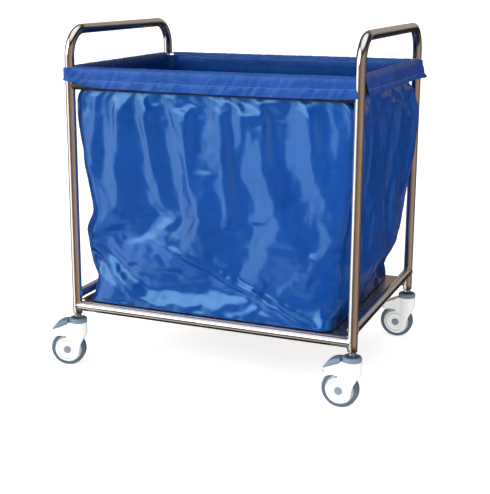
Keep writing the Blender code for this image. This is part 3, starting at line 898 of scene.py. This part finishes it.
def cut(name, mesh, steps):
    """The mesh after each step of an operation and its cutter."""
    draft = draft_object(name, mesh)
    cutters = []
    for operation, cutter_mesh in steps:
        cutter = draft_object("cutter", cutter_mesh)
        modifier = draft.modifiers.new("cut", "BOOLEAN")
        modifier.operation = operation
        modifier.solver = "EXACT"
        modifier.object = cutter
        cutters.append(cutter)
    result = settle(draft)
    for cutter in cutters:
        bpy.data.objects.remove(cutter, do_unlink=True)
    return result


FORK_LOW, FORK_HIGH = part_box("caster_housing_back_right")
NECK_R = FORK_HIGH.x - RIGHT_X
REACH = RIGHT_X - FORK_LOW.x
LEG_HALF = 0.0205
TRAIL = RIGHT_X - middle("tyre_back_right").x
AXLE = Vector((-TRAIL, 0, WHEEL_R))
LEG_R = 0.033
PAD_HALF = 0.0168      # half of the slot for the pedal and of the room over the tyre
PEDAL_PIN = Vector((-0.0345, 0, 0.1125))
BLANK_HALF = 0.04     # half width of a blank before it is cut to its plan
HOUSING_BACK = [
    (NECK_R, FORK_TOP), (-NECK_R, FORK_TOP), (-0.0285, 0.1175), (-0.037, 0.1143),
    (-0.045, 0.1106), (-0.053, 0.1072), (-0.0605, 0.1034), (-0.0665, 0.1),
    (-0.0715, 0.0963), (-REACH, 0.0915), (-0.074, 0.0885), (-0.0722, 0.086),
    (-0.0685, 0.0832), (-0.064, 0.081), (-0.06, 0.0812), (-0.0555, 0.0835),
    (-0.05, 0.0849), (-0.0457, 0.0855), (-0.038, 0.0855), (-0.032, 0.085),
    (-0.0295, 0.0838), (-0.029, 0.0822), (-0.03, 0.0808),
]
HOUSING_FRONT = [
    (0.0062, 0.053), (0.0078, 0.059), (0.0103, 0.065), (0.0135, 0.0715),
    (0.0175, 0.0785), (0.021, 0.0855), (0.0235, 0.0915), (NECK_R, 0.098),
]
HOUSING_ROOM = [
    (-0.062, 0.08), (-0.062, 0.096), (-0.058, 0.0998), (-0.045, 0.1068),
    (-0.03, 0.113), (-0.0215, 0.113), (-0.0215, 0.08),
]
PEDAL_ROOM = [(-0.0255, 0.14), (-0.0255, 0.1), (-0.06, 0.0905), (-0.08, 0.0865), (-0.08, 0.14)]
PEDAL_OUTLINE = [
    (-0.0262, 0.1285), (-0.03, 0.129), (-0.035, 0.1286), (-0.04, 0.1275),
    (-0.045, 0.1257), (-0.05, 0.1232), (-0.055, 0.1198), (-0.06, 0.1154),
    (-0.0645, 0.1104), (-0.0685, 0.1054), (-0.0715, 0.1008), (-0.0742, 0.0955),
    (-0.0715, 0.0973), (-0.066, 0.1008), (-0.0605, 0.1041), (-0.055, 0.1068),
    (-0.049, 0.1092), (-0.0475, 0.094), (-0.0425, 0.094), (-0.04, 0.109),
    (-0.038, 0.1085), (-0.031, 0.1085), (-0.0296, 0.1176), (-0.0262, 0.1194),
]


def housing_mesh(braked):
    """White moulded housing with soft edges: neck, fender, slot and the two legs with round ends."""
    outline = HOUSING_BACK + arc((AXLE.x, AXLE.z), LEG_R, 97, 360, 60) + HOUSING_FRONT
    body = side_solid("housing", outline, BLANK_HALF)
    steps = [
        ("INTERSECT", plan_solid(LEG_HALF, NECK_R, -0.055, REACH)),
        ("DIFFERENCE", side_solid("inside", HOUSING_ROOM, PAD_HALF)),
        ("DIFFERENCE", cylinder_mesh(WHEEL_R + 0.0025, 0.0296, "Y", AXLE, 72)),
        ("DIFFERENCE", cylinder_mesh(0.0166, 0.02, "Z", Vector((0, 0, 0.123)))),
        ("DIFFERENCE", cylinder_mesh(0.0062, 0.08, "Z", Vector((0, 0, 0.11)))),
        ("DIFFERENCE", cylinder_mesh(0.0095, 0.03, "Z", Vector((0, 0, 0.09)))),
    ]
    if braked:
        steps.append(("DIFFERENCE", side_solid("pedal_room", PEDAL_ROOM, PAD_HALF)))
    mesh = cut("housing", body, steps)
    draft = draft_object("housing", mesh)
    remesh = draft.modifiers.new("remesh", "REMESH")
    remesh.mode = "VOXEL"
    remesh.voxel_size = 0.00085
    soften = draft.modifiers.new("soften", "SMOOTH")
    soften.factor = 0.5
    soften.iterations = 7
    thin = draft.modifiers.new("thin", "DECIMATE")
    thin.ratio = 0.42
    return finish_mesh(settle(draft), 180)


def pedal_mesh():
    """Crescent foot pedal with its lug and the nose over the tyre."""
    body = side_solid("pedal", PEDAL_OUTLINE, BLANK_HALF)
    plan = plan_solid(0.0162, NECK_R, -0.055, REACH)
    bore = cylinder_mesh(0.0022, 0.08, "Y", PEDAL_PIN, 24)
    mesh = cut("pedal", body, [("INTERSECT", plan), ("DIFFERENCE", bore)])
    draft = draft_object("pedal", mesh)
    bevel(draft, 0.0009, 40)
    return finish_mesh(settle(draft), 40)


def leg_dish_mesh():
    """Shallow round dish on a fork leg with a pressed ring in it."""
    line = [
        (0.0, 0.0004), (0.012, 0.0004), (0.015, 0.0009), (0.024, 0.0013), (0.0252, 0.0005),
        (DISH_RING_R, 0.0005), (0.0276, 0.0012), (0.0305, 0.0006), (0.0318, -0.0004), (0.0318, -0.0012),
    ]
    line = [(radius, LEG_HALF + up) for radius, up in line]
    return lathe("leg_dish", rounded(line, 0.0009), 72, "Y")


def cap_mesh():
    """Domed hub cap on the dish of a fork leg."""
    base = LEG_HALF + 0.0004
    line = [(0.0, 0.0027), (0.006, 0.0026), (0.0088, 0.0021), (0.0104, 0.001), (0.0105, -0.0002)]
    line = [(radius, base + up) for radius, up in line]
    return lathe("hub_cap", rounded(line, 0.001), 48, "Y")


def tyre_mesh():
    half = 0.012
    line = [(0.0376, -half), (0.044, -half), (0.0462, -0.0105), (WHEEL_R, -0.008), (WHEEL_R, 0.008)]
    line += [(0.0462, 0.0105), (0.044, half), (0.0376, half)]
    return lathe("tyre", rounded(line, 0.0022, steps=5), 96, "Y", closed=True)


def core_mesh():
    """Wheel centre: thin disc between the rim and the hub."""
    line = [
        (0.0374, 0.0112), (0.0374, -0.0112), (0.033, -0.0085), (0.018, -0.0062),
        (0.013, -0.008), (0.011, -0.0128), (0.0078, -0.0128), (0.0078, 0.0128),
        (0.011, 0.0128), (0.013, 0.008), (0.018, 0.0062), (0.033, 0.0085),
    ]
    return lathe("core", rounded(line, 0.0012, closed=True), 72, "Y", closed=True)


def ring_mesh():
    base = FORK_TOP + 0.0003
    line = [(0.0106, base), (0.0245, base), (0.0245, 0.1318), (0.0222, 0.1345), (0.0178, 0.1345)]
    line += [(0.015, 0.129), (0.0106, 0.1268)]
    return lathe("ring", rounded(line, 0.0012, closed=True), 72, "Z", closed=True)


def stem_mesh():
    """Plug in the post, collar, stud through the housing and riveted head."""
    line = [
        (0.0, 0.186), (0.0095, 0.186), (0.0105, 0.1845), (0.0105, 0.1477), (0.0122, 0.1477),
        (0.0122, 0.1467), (0.01, 0.1447), (0.0088, 0.143), (0.0088, FORK_TOP), (0.005, FORK_TOP),
        (0.005, 0.1043), (0.008, 0.1043), (0.008, 0.1012), (0.0, 0.101),
    ]
    return lathe("stem", rounded(line, 0.0005), 48)


def caster_place(place):
    """Where a caster stands and how far it is turned, from its post and the direction of its axle."""
    joints = {joint["name"]: joint for joint in frame["joints"]}
    post = joints[f"swivel_{place}"]["pos_m"]
    axis = joints[f"roll_{place}"]["axis"]
    turn = math.atan2(-axis[0], axis[1])
    return Matrix.Translation((post[0], post[1], 0)) @ Matrix.Rotation(turn, 4, "Z")


def build_casters():
    housings = {True: housing_mesh(True), False: housing_mesh(False)}
    shared = {"tyre": tyre_mesh(), "core": core_mesh(), "ring": ring_mesh(), "stem": stem_mesh()}
    shared.update({"cap": cap_mesh(), "pedal": pedal_mesh(), "dish": leg_dish_mesh()})
    axle = Matrix.Translation(AXLE)
    flip = Matrix.Rotation(math.pi, 4, "Z")
    for place in PLACES:
        braked = place.startswith("front")
        at = caster_place(place)
        fork, wheel = "fork_" + place, "wheel_" + place

        def add(label, mesh, body, look, node=None, turn=Matrix.Identity(4)):
            piece = add_piece(f"{label}_{place}", mesh.copy(), body, look, at @ turn)
            if node:
                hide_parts(f"{node}_{place}")
            return piece

        add("housing", housings[braked], fork, WHITE, "caster_housing")
        add("stem", shared["stem"], "frame", CHROME, "caster_stem")
        add("ring", shared["ring"], fork, RING, "dust_ring")
        add("tread", shared["tyre"], wheel, TREAD, "tyre", axle)
        add("wheel_centre", shared["core"], wheel, WHITE, "wheel_core", axle)
        add("leg_dish_near", shared["dish"], fork, DISH, None, axle)
        add("leg_dish_far", shared["dish"], fork, DISH, None, axle @ flip)
        add("cap_near", shared["cap"], fork, CAP, "hub_cap_near", axle)
        add("cap_far", shared["cap"], fork, CAP, "hub_cap_far", axle @ flip)
        if braked:
            add("pedal", shared["pedal"], "brake_" + place, RING, "brake_pedal")


# ------------ stage, light and camera
def build_stage():
    mesh = bpy.data.meshes.new("floor")
    half = 60.0
    corners = [(-half, -half, 0), (half, -half, 0), (half, half, 0), (-half, half, 0)]
    mesh.from_pydata(corners, [], [(0, 1, 2, 3)])
    floor = bpy.data.objects.new("floor", mesh)
    bpy.context.scene.collection.objects.link(floor)
    n = Nodes.new("floor_paint", (0.8, 0.8, 0.8), 0.9)
    n.set(Specular_IOR_Level=0.1, Emission_Color=(1, 1, 1, 1), Emission_Strength=0.72)
    mesh.materials.append(n.material)
    floor.visible_glossy = False


def build_world():
    """Studio round the object: softboxes at the front left, a bright ceiling and a dim warm room."""
    world = bpy.data.worlds.new("studio")
    world.use_nodes = True
    n = Tree(world.node_tree)
    n.tree.nodes.clear()
    direction = n.add("ShaderNodeTexCoord").outputs["Generated"]
    x, y, z = n.add("ShaderNodeSeparateXYZ", {0: direction}).outputs
    round_angle = n.math("ARCTAN2", x, n.math("MULTIPLY", y, -1.0))
    height = n.math("ARCSINE", z)

    def smooth(value, start, end):
        return n.ramp(value, 0, 1, math.radians(start), math.radians(end), "SMOOTHSTEP")

    def patch(centre, half, soft, low, high):
        """Part of the room, in degrees: centre round from the front, half width, edge, heights."""
        off = n.math("ABSOLUTE", n.math("SUBTRACT", round_angle, math.radians(centre)))
        off = n.math("MINIMUM", off, n.math("SUBTRACT", 2 * math.pi, off))
        side = smooth(off, half + soft, half)
        up, down = smooth(height, low - 8, low + 4), smooth(height, high + 10, high - 4)
        return n.math("MULTIPLY", side, n.math("MULTIPLY", up, down))

    light = (0.022, 0.02, 0.021)
    for factor, colour in (
        (patch(-57, 21, 5, -32, 6), (1.45, 1.45, 1.47)),
        (patch(-42, 28, 7, 10, 42), (3.5, 3.5, 3.55)),
        (patch(-27, 10, 6, -46, -34), (0.7, 0.68, 0.66)),
        (patch(-8, 27, 6, -30, 0), (0.15, 0.11, 0.085)),
        (patch(34, 12, 7, -30, 30), (0.34, 0.22, 0.15)),
        (patch(74, 20, 8, -30, 26), (0.42, 0.29, 0.2)),
        (patch(124, 12, 8, -30, 12), (0.2, 0.14, 0.11)),
        (patch(184, 27, 6, 4, 32), (0.38, 0.33, 0.3)),
        (patch(-110, 16, 10, -30, 30), (0.13, 0.1, 0.09)),
        (smooth(height, 46, 62), (1.15, 1.15, 1.15)),
    ):
        tinted = n.add("ShaderNodeVectorMath", {0: colour, "Scale": factor}, operation="SCALE")
        values = {0: light, 1: tinted.outputs[0]}
        light = n.add("ShaderNodeVectorMath", values, operation="ADD").outputs[0]
    seen = n.add("ShaderNodeBackground", {"Color": (1, 1, 1, 1)}).outputs[0]
    lit = n.add("ShaderNodeBackground", {"Color": light}).outputs[0]
    camera_ray = n.add("ShaderNodeLightPath").outputs["Is Camera Ray"]
    pick = n.add("ShaderNodeMixShader", {0: camera_ray, 1: lit, 2: seen})
    n.add("ShaderNodeOutputWorld", {"Surface": pick.outputs[0]})
    bpy.context.scene.world = world
    bpy.context.scene.view_settings.view_transform = "Standard"


def add_lamp(name, place, target, size, power):
    """Soft rectangular lamp that is not seen in reflections."""
    data = bpy.data.lights.new(name, "AREA")
    data.shape = "RECTANGLE"
    data.size, data.size_y = size
    data.energy = power
    lamp = bpy.data.objects.new(name, data)
    bpy.context.scene.collection.objects.link(lamp)
    lamp.location = place
    aim = Vector(target) - Vector(place)
    lamp.visible_glossy = False
    lamp.rotation_mode = "QUATERNION"
    lamp.rotation_quaternion = aim.to_track_quat("-Z", "Y")
    return lamp


def build_camera():
    yaw, pitch, roll = math.radians(22.58), math.radians(13.285), math.radians(0.139)
    level = math.cos(pitch)
    forward = Vector((-math.sin(yaw) * level, math.cos(yaw) * level, -math.sin(pitch)))
    right = Vector((math.cos(yaw), math.sin(yaw), 0))
    up = right.cross(forward)
    right = right * math.cos(roll) + up * math.sin(roll)
    up = right.cross(forward)
    data = bpy.data.cameras.new("camera")
    data.sensor_width = 36.0
    data.lens = 75.72
    data.shift_x = 0.0227
    data.shift_y = -0.0486
    data.clip_start, data.clip_end = 0.05, 200.0
    camera = bpy.data.objects.new("camera", data)
    bpy.context.scene.collection.objects.link(camera)
    turn = Matrix((right, up, -forward)).transposed().to_4x4()
    camera.matrix_world = Matrix.Translation((MID_X + 1.0425, -2.6206, 1.0378)) @ turn
    bpy.context.scene.camera = camera


# ------------ assembly
build_frame()
bag = build_bag()
hem = build_hem()
build_casters()
kept = {"chrome": CHROME, "polished_steel": TRAY_STEEL}
for name, node in frame["nodes"].items():
    material = node.material_slots[0].material
    if not node.hide_render:
        node.material_slots[0].link = "OBJECT"
        node.material_slots[0].material = kept[material.name]
build_stage()
build_world()
add_lamp("key", (-1.4, -3.0, 2.2), (0.0, 0.0, 0.4), (1.6, 1.2), 29)
add_lamp("fill", (2.6, -2.0, 0.7), (0.2, 0.0, 0.2), (1.4, 1.0), 40)
build_camera()
